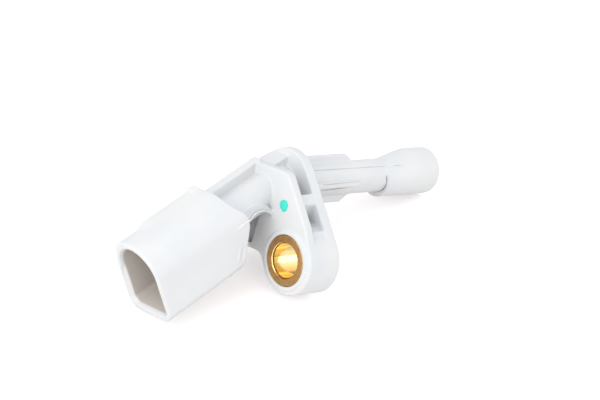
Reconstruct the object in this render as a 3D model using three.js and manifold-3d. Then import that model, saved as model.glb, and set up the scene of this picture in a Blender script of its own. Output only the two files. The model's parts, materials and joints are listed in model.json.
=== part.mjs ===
// ABS wheel speed sensor for a rear wheel, bolted in through one brass bush.
// Millimetres, +Z up. The part lies on a table as it comes to rest: on the socket's flat side,
// on the round boss and on the tip or a fin of the stem. The origin is under the middle of the part.
//
// It is drawn in the moulding's own frame, and turned into the resting pose at the end:
//   x  along the stem, from the flange (x = 0 is the mounting face) towards the sensing tip
//   y  across the plane in which the connector is bent
//   z  up, away from the side to which the connector is bent
import * as THREE from "three";
import { mergeVertices } from "three/addons/utils/BufferGeometryUtils.js";
import Module from "manifold-3d";

const wasm = await Module();
wasm.setup();

const DEGREE = Math.PI / 180;

// Flange: two plates joined by ribs and by the boss round the bush
const FLANGE_DEPTH = 8;
const FRONT_PLATE = 2;
const REAR_PLATE = 2.3;
const REAR_PLATE_RADIUS = 6.9;
const BUSH_SPACING = 16;
const BUSH_TURN = 36 * DEGREE;
const BOSS_RADIUS = 6.9;
const TOP_EDGE = 3.85;
const NEAR_EDGE = 7.6;
const NEAR_CORNER_ROUND = 1.4;
const NEAR_EDGE_END = 12.4;
const LOBE_DROP = 13.4;
const LOBE_SIDE = 5;
const LOBE_ROUND = 1.2;
const CORE_RADIUS = 3.1;
const BOSS_WEB = 3.2;
const CROSS_RIB_DROP = 6;
const CROSS_RIB = 1.9;
const POCKET_END = 12.7;
const CREST_RISE = 5.5;
const CREST_NEAR = 0.4;
const CREST_FAR = 4.4;
const PLATE_BEVEL = 0.3;

// Brass compression bush for an M6 bolt, moulded into the boss
const BUSH_RADIUS = 5;
const BUSH_BORE_RADIUS = 3.5;
const BUSH_LENGTH = 8.35;
const BUSH_CHAMFER = 0.35;
const COLLAR_RADIUS = 5.95;
const COLLAR_RISE = 0.45;
const MOULD_GAP = 0.1;

// Connector: neck and socket, bent down from the stem's line
const CONNECTOR_BEND = 28 * DEGREE;
const NECK_RADIUS = 3.4;
const NECK_LEVEL = -1.6;
const NECK_RIB_NEAR = 2.3;
const NECK_RIB = 2.1;
const NECK_RIB_TOP = 3.45;
const SADDLE_SIDE = 4.1;
const SADDLE_WEB = 2.2;
const SADDLE_WEB_SIDE = 0.5;
const SHROUD_START = 12.5;
const SHROUD_LENGTH = 20.3;
const SHROUD_WIDTH = 12.6;
const SHROUD_HEIGHT = 16.2;
const SHROUD_LEVEL = -1.96;
const SHROUD_SIDE = 0.4;
const SHROUD_CHAMFER = 1.8;
const SHROUD_WALL = 1.4;
const SHROUD_EDGE = 0.9;
const SOCKET_DEPTH = 17.2;
const SOCKET_LEAD_IN = 0.7;
const HEEL_GAP = 7.9;
const HEEL_TOP = -2.7;
const HEEL_BOTTOM = -12.3;
const HEEL_ROOT = 12;
const HEEL_DROP = 7;
// The heel's upper edge, as steps back from its face and up from its top
const HEEL_CURVE = [[0.5, -2.3], [1.4, -1.2], [2.6, -0.5], [4.1, 0.2], [5.6, 1.4], [8, 4]];
const LUG_LENGTH = 2;
const LUG_RISE = 0.45;
const RIDGE_TURN = 38 * DEGREE;
const RIDGE_SPREAD = 36 * DEGREE;
const RIDGE_RISE = 1.15;
const RIDGE_RISE_AT_MOUTH = 0.5;
const RIDGE_SETBACK = 7.1;
const RIDGE_SLOPE = 2;

// Stem: shaft, four fins at the flange and the thicker sensing head
const SHAFT_RADIUS = 3.43;
const STEM_LENGTH = 38.5;
const FIN_RADIUS = 5;
const FIN_THICKNESS = 1.1;
const FIN_LENGTH = 13.8;
const FIN_RAMP = 2.4;
const HEAD_START = 24;
const HEAD_RAMP_START = 24.8;
const HEAD_RAMP_END = 32.3;
const HEAD_RADIUS = 4.9;
const HEAD_LIFT = 0.36;
const HEAD_CHAMFER = 0.45;
const SEAM_LEVEL = 2.5;
const SEAM_WIDTH = 0.3;
const SEAM_DEPTH = 0.2;
const SEAM_FLARE = 1.3;
const SEAM_START = 1.2;
const SEAM_END = 28.5;

// Longer than the whole part, for shapes that trim everything on one side
const BEYOND = FLANGE_DEPTH + SHROUD_START + SHROUD_LENGTH + STEM_LENGTH;

// Electrical parts inside, in a chamber of the head and in slots that lead to the socket
const TERMINAL_THICKNESS = 0.64;
const BLADE_WIDTH = 2.3;
const BLADE_SIDE = 2;
const BLADE_REACH = 9.5;
const BLADE_TIP = 0.6;
const RAIL_WIDTH = 1;
const SLOT_GAP = 0.2;
const CHAMBER_LENGTH = 7.2;
const CHAMBER_SIDE = 3.1;
const CHAMBER_TOP = 2.3;
const CHAMBER_BOTTOM = -3.1;
const TIP_WALL = 1.2;
const CHIP_DEPTH = 1.5;
const CHIP_SIDE = 2.3;
const CHIP_LOW = -2.3;
const CHIP_TOP = 1.3;
const CHIP_CORNER = 0.2;
const CHIP_CROWN = 0.5;
const PLATE_THICKNESS = 0.5;
const MAGNET_DEPTH = 2.4;
const MAGNET_SIDE = 1.9;
const CARRIER_DEPTH = 4;
const CARRIER_WALL = 0.7;
const LEAD_THICKNESS = 0.3;
const LEAD_WIDTH = 0.5;
const LEAD_OVERLAP = 1.8;
const CAPACITOR_DEPTH = 2.4;
const CAPACITOR_HEIGHT = 0.8;
const INNER_GAP = 0.15;

// Dab of inspection paint on the front plate
const DOT_RADIUS = 1.15;
const DOT_THICKNESS = 0.06;
const DOT_SIDE = -6.8;
const DOT_LEVEL = -2.6;

// The way up at rest, and where along the stem the part touches the floor: socket, flange, head
const REST_UP = new THREE.Vector3(-0.261, -0.369, 0.892);
const REST_ZONES = [[-60, -20], [-FLANGE_DEPTH, 0], [HEAD_START, STEM_LENGTH]];

// Directions of the moulding's frame
const X = new THREE.Vector3(1, 0, 0);
const Y = new THREE.Vector3(0, 1, 0);
const Z = new THREE.Vector3(0, 0, 1);
const BEND_COS = Math.cos(CONNECTOR_BEND);
const BEND_SIN = Math.sin(CONNECTOR_BEND);
const CONNECTOR_ALONG = new THREE.Vector3(-BEND_COS, 0, -BEND_SIN);
const CONNECTOR_UP = new THREE.Vector3(-BEND_SIN, 0, BEND_COS);
const BUSH = new THREE.Vector2(-Math.sin(BUSH_TURN), -Math.cos(BUSH_TURN)).multiplyScalar(BUSH_SPACING);

function placed(right, up, along, origin) {
  return new THREE.Matrix4().makeBasis(right, up, along).setPosition(origin);
}

// Drawings on a plate: right is y, up is z, and they are extruded towards the tip
function plateFrame(x) {
  return placed(Y, Z, X, new THREE.Vector3(x, 0, 0));
}

// Drawings seen from the near side: right is x, up is z, and they are extruded towards -y
function sideFrame(y) {
  return placed(X, Z, Y.clone().negate(), new THREE.Vector3(0, y, 0));
}

// Drawings across the connector: right is -y, up is square to its axis, extruded to its mouth
function connectorFrame(along) {
  const root = new THREE.Vector3(-FLANGE_DEPTH, 0, 0);
  const origin = root.addScaledVector(CONNECTOR_ALONG, along);
  return placed(Y.clone().negate(), CONNECTOR_UP, CONNECTOR_ALONG, origin);
}

// Turns a three.js geometry into a solid that can be joined and cut
function solid(geometry, frame = new THREE.Matrix4()) {
  const bare = geometry.clone().applyMatrix4(frame);
  for (const name of Object.keys(bare.attributes)) {
    if (name !== "position") bare.deleteAttribute(name);
  }
  const merged = mergeVertices(bare, 1e-5);
  const vertProperties = Float32Array.from(merged.attributes.position.array);
  const triVerts = Uint32Array.from(merged.index.array);
  return new wasm.Manifold(new wasm.Mesh({ numProp: 3, vertProperties, triVerts }));
}

function join(...solids) {
  return solids.reduce((whole, next) => whole.add(next));
}

function extruded(shape, depth, frame, bevel = 0, curveSegments = 20) {
  const geometry = new THREE.ExtrudeGeometry(shape, {
    depth: depth - 2 * bevel,
    curveSegments,
    bevelEnabled: bevel > 0,
    bevelThickness: bevel,
    bevelSize: bevel,
    bevelOffset: -bevel,
    bevelSegments: 2,
  });
  geometry.translate(0, 0, bevel);
  return solid(geometry, frame);
}

function box(low, high, frame) {
  const [x0, y0, z0] = low;
  const [x1, y1, z1] = high;
  const geometry = new THREE.BoxGeometry(x1 - x0, y1 - y0, z1 - z0);
  geometry.translate((x0 + x1) / 2, (y0 + y1) / 2, (z0 + z1) / 2);
  return solid(geometry, frame);
}

// A turned body round the stem's axis from [radius, x] pairs, from axis to axis
function turned(profile, segments = 56) {
  const points = profile.map(([radius, x]) => new THREE.Vector2(radius, x));
  const geometry = new THREE.LatheGeometry(points, segments);
  return solid(geometry, placed(Z, X, Y, new THREE.Vector3()));
}

function rod(radius, x0, x1, segments) {
  return turned([[0, x0], [radius, x0], [radius, x1], [0, x1]], segments);
}

function movedTo(body, y, z) {
  return body.translate([0, y, z]);
}

function polygon(points) {
  return new THREE.Shape(points.map(([x, y]) => new THREE.Vector2(x, y)));
}

// Two circles and the tangents that join them
function linkShape(a, radiusA, b, radiusB) {
  const heading = Math.atan2(b.y - a.y, b.x - a.x);
  const lean = Math.acos((radiusA - radiusB) / a.distanceTo(b));
  const shape = new THREE.Shape();
  shape.absarc(a.x, a.y, radiusA, heading + lean, heading - lean + 2 * Math.PI, false);
  shape.absarc(b.x, b.y, radiusB, heading - lean, heading + lean, false);
  return shape;
}

// A polygon with every corner rounded by the radius given with it
function roundedShape(corners) {
  const shape = new THREE.Shape();
  corners.forEach(([x, y, radius], i) => {
    const corner = new THREE.Vector2(x, y);
    const before = new THREE.Vector2(...corners.at(i - 1).slice(0, 2)).sub(corner).setLength(radius);
    const after = new THREE.Vector2(...corners[(i + 1) % corners.length].slice(0, 2)).sub(corner).setLength(radius);
    const enter = corner.clone().add(before);
    const leave = corner.clone().add(after);
    if (i === 0) shape.moveTo(enter.x, enter.y);
    else shape.lineTo(enter.x, enter.y);
    shape.quadraticCurveTo(corner.x, corner.y, leave.x, leave.y);
  });
  shape.closePath();
  return shape;
}

// The connector's section: a half round top, straight sides and a flat base with two chamfers.
// The top can carry a low rounded ridge on its far side, over the neck's rib.
function tombstone(inset, ridge = 0) {
  const half = SHROUD_WIDTH / 2 - inset;
  const base = SHROUD_LEVEL - SHROUD_HEIGHT / 2 + inset;
  const spring = SHROUD_LEVEL + SHROUD_HEIGHT / 2 - SHROUD_WIDTH / 2;
  const cut = Math.max(SHROUD_CHAMFER - inset * (2 - Math.SQRT2), 0.2);
  const points = [];
  const steps = 24;
  for (let i = 0; i <= steps; i += 1) {
    const angle = (Math.PI * i) / steps;
    const away = Math.abs(angle - Math.PI / 2 - RIDGE_TURN) / RIDGE_SPREAD;
    const radius = half + ridge * Math.cos((Math.min(away, 1) * Math.PI) / 2) ** 2;
    points.push([SHROUD_SIDE + radius * Math.cos(angle), spring + radius * Math.sin(angle)]);
  }
  points.push([SHROUD_SIDE - half, base + cut], [SHROUD_SIDE - half + cut, base]);
  points.push([SHROUD_SIDE + half - cut, base], [SHROUD_SIDE + half, base + cut]);
  return points.map(([x, y]) => new THREE.Vector2(x, y));
}

// A body through like sections: each has its points and its distance along the frame's depth
function lofted(sections, frame = connectorFrame(0)) {
  const count = sections[0].points.length;
  const positions = [];
  for (const { points, along } of sections) {
    for (const point of points) positions.push(point.x, point.y, along);
  }
  const index = [];
  for (let i = 0; i + 1 < sections.length; i += 1) {
    for (let j = 0; j < count; j += 1) {
      const a = i * count + j;
      const b = i * count + ((j + 1) % count);
      index.push(a, b, b + count, a, b + count, a + count);
    }
  }
  const last = (sections.length - 1) * count;
  for (const [a, b, c] of THREE.ShapeUtils.triangulateShape(sections[0].points, [])) {
    index.push(c, b, a, last + a, last + b, last + c);
  }
  const geometry = new THREE.BufferGeometry();
  geometry.setAttribute("position", new THREE.Float32BufferAttribute(positions, 3));
  geometry.setIndex(index);
  return solid(geometry, frame);
}

function circle(along, radius, lift, segments = 56) {
  const points = [];
  for (let i = 0; i < segments; i += 1) {
    const angle = (2 * Math.PI * i) / segments;
    points.push(new THREE.Vector2(radius * Math.cos(angle), lift + radius * Math.sin(angle)));
  }
  return { along, points };
}

// Everything in front of the mounting side's front plate: trims what grows out of the flange
function aheadOf(x) {
  return box([x - BEYOND, -BEYOND / 2, -BEYOND / 2], [x, BEYOND / 2, BEYOND / 2]);
}

const BUSH_CENTRE = BUSH;
const AXIS = new THREE.Vector2(0, 0);

// The flange's frame has its up along the line from bush to stem
function flangePoint(side, rise) {
  const up = BUSH.clone().multiplyScalar(-1 / BUSH_SPACING);
  return new THREE.Vector2(up.y * side + up.x * rise, -up.x * side + up.y * rise);
}

function frontPlate() {
  const slope = Math.tan(BUSH_TURN);
  const nearCorner = -(NEAR_EDGE / Math.cos(BUSH_TURN) - TOP_EDGE * slope);
  const nearFoot = flangePoint(-NEAR_EDGE, -NEAR_EDGE_END);
  const bossFoot = flangePoint(-BOSS_RADIUS, -BUSH_SPACING);
  const outline = roundedShape([
    [LOBE_SIDE, TOP_EDGE, 0.6],
    [LOBE_SIDE, -LOBE_DROP, LOBE_ROUND],
    [BUSH.x, -LOBE_DROP, LOBE_ROUND],
    [bossFoot.x, bossFoot.y, 0.6],
    [nearFoot.x, nearFoot.y, 1],
    [nearCorner, TOP_EDGE, NEAR_CORNER_ROUND],
  ].reverse());
  return extruded(outline, FRONT_PLATE, plateFrame(-FLANGE_DEPTH), PLATE_BEVEL, 8);
}

function rearPlate() {
  const outline = linkShape(AXIS, REAR_PLATE_RADIUS, BUSH_CENTRE, BOSS_RADIUS);
  return extruded(outline, REAR_PLATE, plateFrame(-REAR_PLATE), PLATE_BEVEL, 20);
}

// A crest that slopes from the front plate's top edge to the rear plate's rim
function crest() {
  const front = -FLANGE_DEPTH + FRONT_PLATE / 2;
  const back = -REAR_PLATE / 2;
  const outline = polygon([
    [front, 0],
    [back, 0],
    [back, CREST_RISE],
    [-REAR_PLATE, CREST_RISE],
    [-FLANGE_DEPTH + FRONT_PLATE, TOP_EDGE],
    [front, TOP_EDGE - PLATE_BEVEL],
  ]);
  const ridge = extruded(outline, CREST_FAR + CREST_NEAR, sideFrame(CREST_FAR));
  return ridge.intersect(rod(REAR_PLATE_RADIUS - PLATE_BEVEL, -FLANGE_DEPTH, 0));
}

function flangeRibs() {
  const depth = FLANGE_DEPTH - FRONT_PLATE / 2 - REAR_PLATE / 2;
  const start = -FLANGE_DEPTH + FRONT_PLATE / 2;
  const lean = new THREE.Matrix4().makeRotationX(-BUSH_TURN);
  const half = BOSS_WEB / 2;
  const web = box([start, -half, -BUSH_SPACING], [start + depth, half, 0], lean);
  const side = REAR_PLATE_RADIUS - PLATE_BEVEL;
  const low = [start, -side, -CROSS_RIB_DROP - CROSS_RIB / 2];
  const high = [start + depth, side, -CROSS_RIB_DROP + CROSS_RIB / 2];
  const crossRib = box(low, high, lean);
  const floor = box([start, -side, -BUSH_SPACING], [start + depth, side, -POCKET_END], lean);
  return join(web, crossRib, floor, rod(CORE_RADIUS, start, start + depth));
}

function boss() {
  const rim = PLATE_BEVEL;
  const body = turned([
    [0, -FLANGE_DEPTH], [BOSS_RADIUS - rim, -FLANGE_DEPTH], [BOSS_RADIUS, -FLANGE_DEPTH + rim],
    [BOSS_RADIUS, -rim], [BOSS_RADIUS - rim, 0], [0, 0],
  ]);
  const face = -FLANGE_DEPTH - COLLAR_RISE;
  const collar = turned([
    [0, face], [COLLAR_RADIUS - 0.15, face], [COLLAR_RADIUS, face + 0.15],
    [COLLAR_RADIUS, -FLANGE_DEPTH / 2], [0, -FLANGE_DEPTH / 2],
  ]);
  return movedTo(join(body, collar), BUSH.x, BUSH.y);
}

function neck() {
  const length = SHROUD_START + SHROUD_EDGE;
  const bar = new THREE.CylinderGeometry(NECK_RADIUS, NECK_RADIUS, length + FLANGE_DEPTH, 40);
  bar.rotateX(Math.PI / 2);
  bar.translate(0, NECK_LEVEL, (length - FLANGE_DEPTH) / 2);
  const rib = box(
    [-NECK_RIB_NEAR - NECK_RIB, NECK_LEVEL, -FLANGE_DEPTH],
    [-NECK_RIB_NEAR, NECK_RIB_TOP, length],
    connectorFrame(0),
  );
  return join(solid(bar, connectorFrame(0)), rib);
}

// The saddle under the neck: a shelf arched over the gap between the socket's heel and the flange
function saddle() {
  const foot = -FLANGE_DEPTH;
  const heel = foot - HEEL_GAP;
  const arch = new THREE.Shape();
  arch.moveTo(heel - 1.6, HEEL_TOP - 2.1);
  arch.bezierCurveTo(heel, HEEL_TOP - 1.6, heel + 1.8, HEEL_TOP, heel + 3.2, HEEL_TOP);
  arch.bezierCurveTo(foot - 2.4, HEEL_TOP, foot - 1.3, HEEL_TOP - 0.6, foot + 0.5, HEEL_TOP - 2.2);
  arch.lineTo(foot + 0.5, HEEL_TOP - 3.2);
  arch.bezierCurveTo(foot - 0.9, HEEL_TOP - 1.9, foot - 1.6, HEEL_TOP - 1.5, foot - 3.2, HEEL_TOP - 1.45);
  arch.bezierCurveTo(foot - 5.6, HEEL_TOP - 1.4, foot - 5.4, HEEL_TOP - 3.2, foot - 6.6, HEEL_TOP - 3.7);
  arch.lineTo(heel - 1.6, HEEL_TOP - 4.7);
  arch.closePath();
  const width = SADDLE_SIDE + NECK_RIB_NEAR + NECK_RIB;
  const shelf = extruded(arch, width, sideFrame(NECK_RIB_NEAR + NECK_RIB), 0, 10);
  const web = polygon([
    [heel - 2, HEEL_TOP - 1], [foot + 0.5, HEEL_TOP - 1],
    [foot + 0.5, -LOBE_DROP + 0.8], [heel - 2, HEEL_BOTTOM + 0.6],
  ]);
  return join(shelf, extruded(web, SADDLE_WEB, sideFrame(SADDLE_WEB_SIDE + SADDLE_WEB / 2)));
}

function shroudOutside() {
  const mouth = SHROUD_START + SHROUD_LENGTH;
  const rim = 0.2;
  const middle = (RIDGE_RISE + RIDGE_RISE_AT_MOUTH) / 2;
  return lofted([
    { along: SHROUD_START, points: tombstone(SHROUD_EDGE, RIDGE_RISE) },
    { along: SHROUD_START + SHROUD_EDGE * 0.13, points: tombstone(SHROUD_EDGE * 0.5, RIDGE_RISE) },
    { along: SHROUD_START + SHROUD_EDGE * 0.5, points: tombstone(SHROUD_EDGE * 0.13, RIDGE_RISE) },
    { along: SHROUD_START + SHROUD_EDGE, points: tombstone(0, RIDGE_RISE) },
    { along: mouth - RIDGE_SETBACK, points: tombstone(0, RIDGE_RISE) },
    { along: mouth - RIDGE_SETBACK + RIDGE_SLOPE / 2, points: tombstone(0, middle) },
    { along: mouth - RIDGE_SETBACK + RIDGE_SLOPE, points: tombstone(0, RIDGE_RISE_AT_MOUTH) },
    { along: mouth - rim, points: tombstone(0, RIDGE_RISE_AT_MOUTH) },
    { along: mouth, points: tombstone(rim, RIDGE_RISE_AT_MOUTH) },
  ]);
}

// The heel: the socket's lower back, which reaches close to the flange and faces it squarely
function heel() {
  const reach = lofted([
    { along: 4, points: tombstone(0) },
    { along: SHROUD_START + SHROUD_EDGE, points: tombstone(0) },
  ]);
  const back = -FLANGE_DEPTH - HEEL_GAP;
  const outline = new THREE.Shape();
  outline.moveTo(back - HEEL_ROOT, HEEL_BOTTOM - HEEL_DROP);
  outline.lineTo(back - 1.2, HEEL_BOTTOM - 0.9);
  outline.quadraticCurveTo(back, HEEL_BOTTOM - 0.8, back, HEEL_BOTTOM);
  outline.lineTo(back, HEEL_TOP - 3.6);
  const curve = HEEL_CURVE.map(([inward, rise]) => new THREE.Vector2(back - inward, HEEL_TOP + rise));
  outline.splineThru(curve);
  outline.lineTo(back - HEEL_ROOT, curve.at(-1).y);
  outline.closePath();
  return reach.intersect(extruded(outline, BEYOND / 2, sideFrame(BEYOND / 4)));
}

// A low lug on the ridge where the neck's rib runs out on the socket
function lug() {
  const start = SHROUD_START + SHROUD_EDGE / 2;
  const end = start + LUG_LENGTH;
  const swollen = lofted([
    { along: start, points: tombstone(-LUG_RISE * 0.6, RIDGE_RISE) },
    { along: start + LUG_LENGTH * 0.3, points: tombstone(-LUG_RISE, RIDGE_RISE) },
    { along: end - LUG_LENGTH * 0.3, points: tombstone(-LUG_RISE * 0.8, RIDGE_RISE) },
    { along: end, points: tombstone(-0.01, RIDGE_RISE) },
  ]);
  const low = [-NECK_RIB_NEAR - NECK_RIB, SHROUD_LEVEL, start];
  return swollen.intersect(box(low, [-NECK_RIB_NEAR, SHROUD_HEIGHT, end], connectorFrame(0)));
}

function socketCavity() {
  const mouth = SHROUD_START + SHROUD_LENGTH;
  const floor = mouth - SOCKET_DEPTH;
  return lofted([
    { along: floor, points: tombstone(SHROUD_WALL + 0.15) },
    { along: mouth - SOCKET_LEAD_IN, points: tombstone(SHROUD_WALL) },
    { along: mouth + 0.1, points: tombstone(SHROUD_WALL - SOCKET_LEAD_IN * 0.7) },
  ]);
}

function fins() {
  const outline = polygon([
    [-0.5, 0], [FIN_LENGTH + FIN_RAMP, 0], [FIN_LENGTH + FIN_RAMP, SHAFT_RADIUS - 0.1],
    [FIN_LENGTH, FIN_RADIUS], [-0.5, FIN_RADIUS],
  ]);
  const one = extruded(outline, FIN_THICKNESS, sideFrame(FIN_THICKNESS / 2));
  const turns = [0, 1, 2, 3];
  return join(...turns.map((turn) => one.rotate([90 * turn, 0, 0])));
}

// The head swells upwards only: its underside runs level, a step below the shaft's
function head() {
  const underside = HEAD_RADIUS - HEAD_LIFT;
  const top = HEAD_RADIUS + HEAD_LIFT;
  const ring = (along, crown) => circle(along, (crown + underside) / 2, (crown - underside) / 2);
  const cut = HEAD_CHAMFER;
  return lofted([
    ring(HEAD_START, SHAFT_RADIUS),
    ring(HEAD_RAMP_START, SHAFT_RADIUS),
    ring(HEAD_RAMP_END, top),
    ring(STEM_LENGTH - cut, top),
    circle(STEM_LENGTH - cut * 0.3, HEAD_RADIUS - cut * 0.3, HEAD_LIFT),
    circle(STEM_LENGTH, HEAD_RADIUS - cut, HEAD_LIFT),
  ], plateFrame(0));
}

// The parting seams: two level grooves along the shaft, which run out on the head
function seams() {
  const bottom = Math.sqrt(SHAFT_RADIUS ** 2 - SEAM_LEVEL ** 2) - SEAM_DEPTH;
  const outline = polygon([
    [SEAM_START, bottom], [HEAD_RAMP_START, bottom], [SEAM_END, bottom + SEAM_FLARE],
    [SEAM_END, FIN_RADIUS + 1], [SEAM_START, FIN_RADIUS + 1],
  ].reverse());
  const far = extruded(outline, SEAM_WIDTH, placed(X, Y, Z, new THREE.Vector3(0, 0, SEAM_LEVEL - SEAM_WIDTH / 2)));
  return join(far, far.mirror([0, 1, 0]));
}

// Where the terminals' blades, drawn back along the connector, meet the stem's axis
const BLADE_LEVEL = SHROUD_LEVEL;
const ELBOW_ALONG = (BLADE_LEVEL * BEND_COS) / BEND_SIN;
const ELBOW_X = -FLANGE_DEPTH - ELBOW_ALONG * BEND_COS - BLADE_LEVEL * BEND_SIN;
const CHAMBER_END = STEM_LENGTH - TIP_WALL;
const CHAMBER_START = CHAMBER_END - CHAMBER_LENGTH;
const RAIL_END = CHAMBER_START - SLOT_GAP;
const LEAD_LEVEL = RAIL_WIDTH / 2 + INNER_GAP;

// One terminal, or the slot that it lies in when gap is the room round it
function terminal(side, gap = 0) {
  const tip = SHROUD_START + SHROUD_LENGTH - SOCKET_DEPTH + BLADE_REACH;
  const half = BLADE_WIDTH / 2 + gap;
  const thick = TERMINAL_THICKNESS / 2 + gap;
  const blade = roundedShape([
    [ELBOW_ALONG, BLADE_LEVEL - half, 0.2],
    [tip + gap, BLADE_LEVEL - half, BLADE_TIP],
    [tip + gap, BLADE_LEVEL + half, BLADE_TIP],
    [ELBOW_ALONG, BLADE_LEVEL + half, 0.2],
  ]);
  const root = new THREE.Vector3(-FLANGE_DEPTH, side * BLADE_SIDE - thick, 0);
  const bladeFrame = placed(CONNECTOR_ALONG, CONNECTOR_UP, Y, root);
  const rail = box(
    [ELBOW_X, side * BLADE_SIDE - thick, -RAIL_WIDTH / 2 - gap],
    [RAIL_END + gap * 2, side * BLADE_SIDE + thick, RAIL_WIDTH / 2 + gap],
  );
  return join(extruded(blade, 2 * thick, bladeFrame, 0, 3), rail);
}

function leadShape(side, gap = 0) {
  const half = LEAD_WIDTH / 2 + gap;
  const level = LEAD_LEVEL;
  return box(
    [RAIL_END - LEAD_OVERLAP - gap, side * BLADE_SIDE - half, level - gap],
    [CHAMBER_END - CHIP_DEPTH - 2 * INNER_GAP + gap, side * BLADE_SIDE + half, level + LEAD_THICKNESS + gap],
  );
}

function chamber() {
  return box([CHAMBER_START, -CHAMBER_SIDE, CHAMBER_BOTTOM], [CHAMBER_END, CHAMBER_SIDE, CHAMBER_TOP]);
}

function housing() {
  const flange = join(frontPlate(), rearPlate(), crest(), flangeRibs(), boss());
  const connector = join(neck(), saddle(), lug(), heel()).intersect(aheadOf(-FLANGE_DEPTH + FRONT_PLATE / 2));
  const stem = join(rod(SHAFT_RADIUS, -FLANGE_DEPTH / 2, HEAD_START + 1), fins(), head());
  const body = join(flange, connector, shroudOutside(), stem.subtract(seams()));
  const bore = movedTo(rod(BUSH_RADIUS + MOULD_GAP, -FLANGE_DEPTH - 5, 5), BUSH.x, BUSH.y);
  const slots = [-1, 1].flatMap((side) => [terminal(side, SLOT_GAP), leadShape(side, SLOT_GAP)]);
  return body.subtract(join(bore, socketCavity(), chamber(), ...slots));
}

function compressionBush() {
  const start = -FLANGE_DEPTH - COLLAR_RISE + 0.1;
  const end = start + BUSH_LENGTH;
  const outer = BUSH_RADIUS;
  const inner = BUSH_BORE_RADIUS;
  const cut = BUSH_CHAMFER;
  const profile = [
    [inner, start + cut], [inner + cut, start], [outer - 0.1, start], [outer, start + 0.1],
    [outer, end - 0.1], [outer - 0.1, end], [inner + cut, end], [inner, end - cut], [inner, start + cut],
  ];
  return movedTo(turned(profile), BUSH.x, BUSH.y);
}

function sensingChip() {
  const back = CHAMBER_END - CHIP_DEPTH - INNER_GAP;
  const outline = roundedShape([
    [-CHIP_SIDE, CHIP_LOW, CHIP_CORNER], [CHIP_SIDE, CHIP_LOW, CHIP_CORNER],
    [CHIP_SIDE, CHIP_TOP, CHIP_CROWN], [-CHIP_SIDE, CHIP_TOP, CHIP_CROWN],
  ]);
  return extruded(outline, CHIP_DEPTH, plateFrame(back), 0.1, 3);
}

const FLUX_PLATE_X = CHAMBER_END - CHIP_DEPTH - 2 * INNER_GAP - PLATE_THICKNESS;
const MAGNET_X = FLUX_PLATE_X - INNER_GAP - MAGNET_DEPTH;
const CARRIER_TOP = LEAD_LEVEL - INNER_GAP;
const MAGNET_MIDDLE = (CARRIER_TOP + CHAMBER_BOTTOM + INNER_GAP) / 2;

function fluxPlate() {
  const half = MAGNET_SIDE;
  const reach = half * 0.8;
  return box(
    [FLUX_PLATE_X, -half, MAGNET_MIDDLE - reach],
    [FLUX_PLATE_X + PLATE_THICKNESS, half, MAGNET_MIDDLE + reach],
  );
}

function magnetBlock(gap = 0) {
  const half = MAGNET_SIDE * 0.6 + gap;
  const side = MAGNET_SIDE + gap;
  return box(
    [MAGNET_X - gap, -side, MAGNET_MIDDLE - half],
    [MAGNET_X + MAGNET_DEPTH + gap * 4, side, MAGNET_MIDDLE + half],
  );
}

// The carrier is a moulded block with a pocket at its front for the magnet
function carrier() {
  const front = FLUX_PLATE_X - INNER_GAP;
  const side = CHAMBER_SIDE - INNER_GAP;
  const outline = roundedShape([
    [-side, CHAMBER_BOTTOM + INNER_GAP, 0.4], [side, CHAMBER_BOTTOM + INNER_GAP, 0.4],
    [side, CARRIER_TOP, 0.3], [-side, CARRIER_TOP, 0.3],
  ]);
  const block = extruded(outline, CARRIER_DEPTH, plateFrame(front - CARRIER_DEPTH), 0, 3);
  return block.subtract(magnetBlock(INNER_GAP));
}

function capacitor() {
  const start = CHAMBER_START + CARRIER_WALL;
  const base = LEAD_LEVEL + LEAD_THICKNESS + INNER_GAP;
  const outline = roundedShape([
    [-CHIP_SIDE, base, 0.1], [CHIP_SIDE, base, 0.1],
    [CHIP_SIDE, base + CAPACITOR_HEIGHT, 0.3], [-CHIP_SIDE, base + CAPACITOR_HEIGHT, 0.3],
  ]);
  return extruded(outline, CAPACITOR_DEPTH, plateFrame(start), 0, 3);
}

function inspectionDot() {
  const dab = new THREE.CylinderGeometry(DOT_RADIUS * 0.85, DOT_RADIUS, DOT_THICKNESS, 28);
  dab.rotateX(-Math.PI / 2);
  const start = -FLANGE_DEPTH - DOT_THICKNESS / 2 - 0.02;
  return movedTo(solid(dab, placed(Y, Z, X, new THREE.Vector3(start, 0, 0))), DOT_SIDE, DOT_LEVEL);
}

const moulding = new THREE.MeshStandardMaterial({ color: 0xe4e6ea, roughness: 0.42, metalness: 0 });
const brass = new THREE.MeshStandardMaterial({ color: 0xc8973a, roughness: 0.28, metalness: 1 });
const tinned = new THREE.MeshStandardMaterial({ color: 0xc9c7c0, roughness: 0.35, metalness: 1 });
const steel = new THREE.MeshStandardMaterial({ color: 0x8d9093, roughness: 0.4, metalness: 1 });
const magnetic = new THREE.MeshStandardMaterial({ color: 0x3d3f42, roughness: 0.6, metalness: 0.6 });
const resin = new THREE.MeshStandardMaterial({ color: 0x1d1e20, roughness: 0.55, metalness: 0 });
const insert = new THREE.MeshStandardMaterial({ color: 0x2b2d30, roughness: 0.6, metalness: 0 });
const paint = new THREE.MeshStandardMaterial({ color: 0x2fe0c8, roughness: 0.5, metalness: 0 });

const part = new THREE.Group();
const moulded = new THREE.Group();
part.add(moulded);

function piece(name, body, material) {
  const { vertProperties, triVerts } = body.getMesh();
  const geometry = new THREE.BufferGeometry();
  geometry.setAttribute("position", new THREE.BufferAttribute(Float32Array.from(vertProperties), 3));
  geometry.setIndex(new THREE.BufferAttribute(Uint32Array.from(triVerts), 1));
  geometry.computeVertexNormals();
  const mesh = new THREE.Mesh(geometry, material);
  mesh.name = name;
  moulded.add(mesh);
  return mesh;
}

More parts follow.
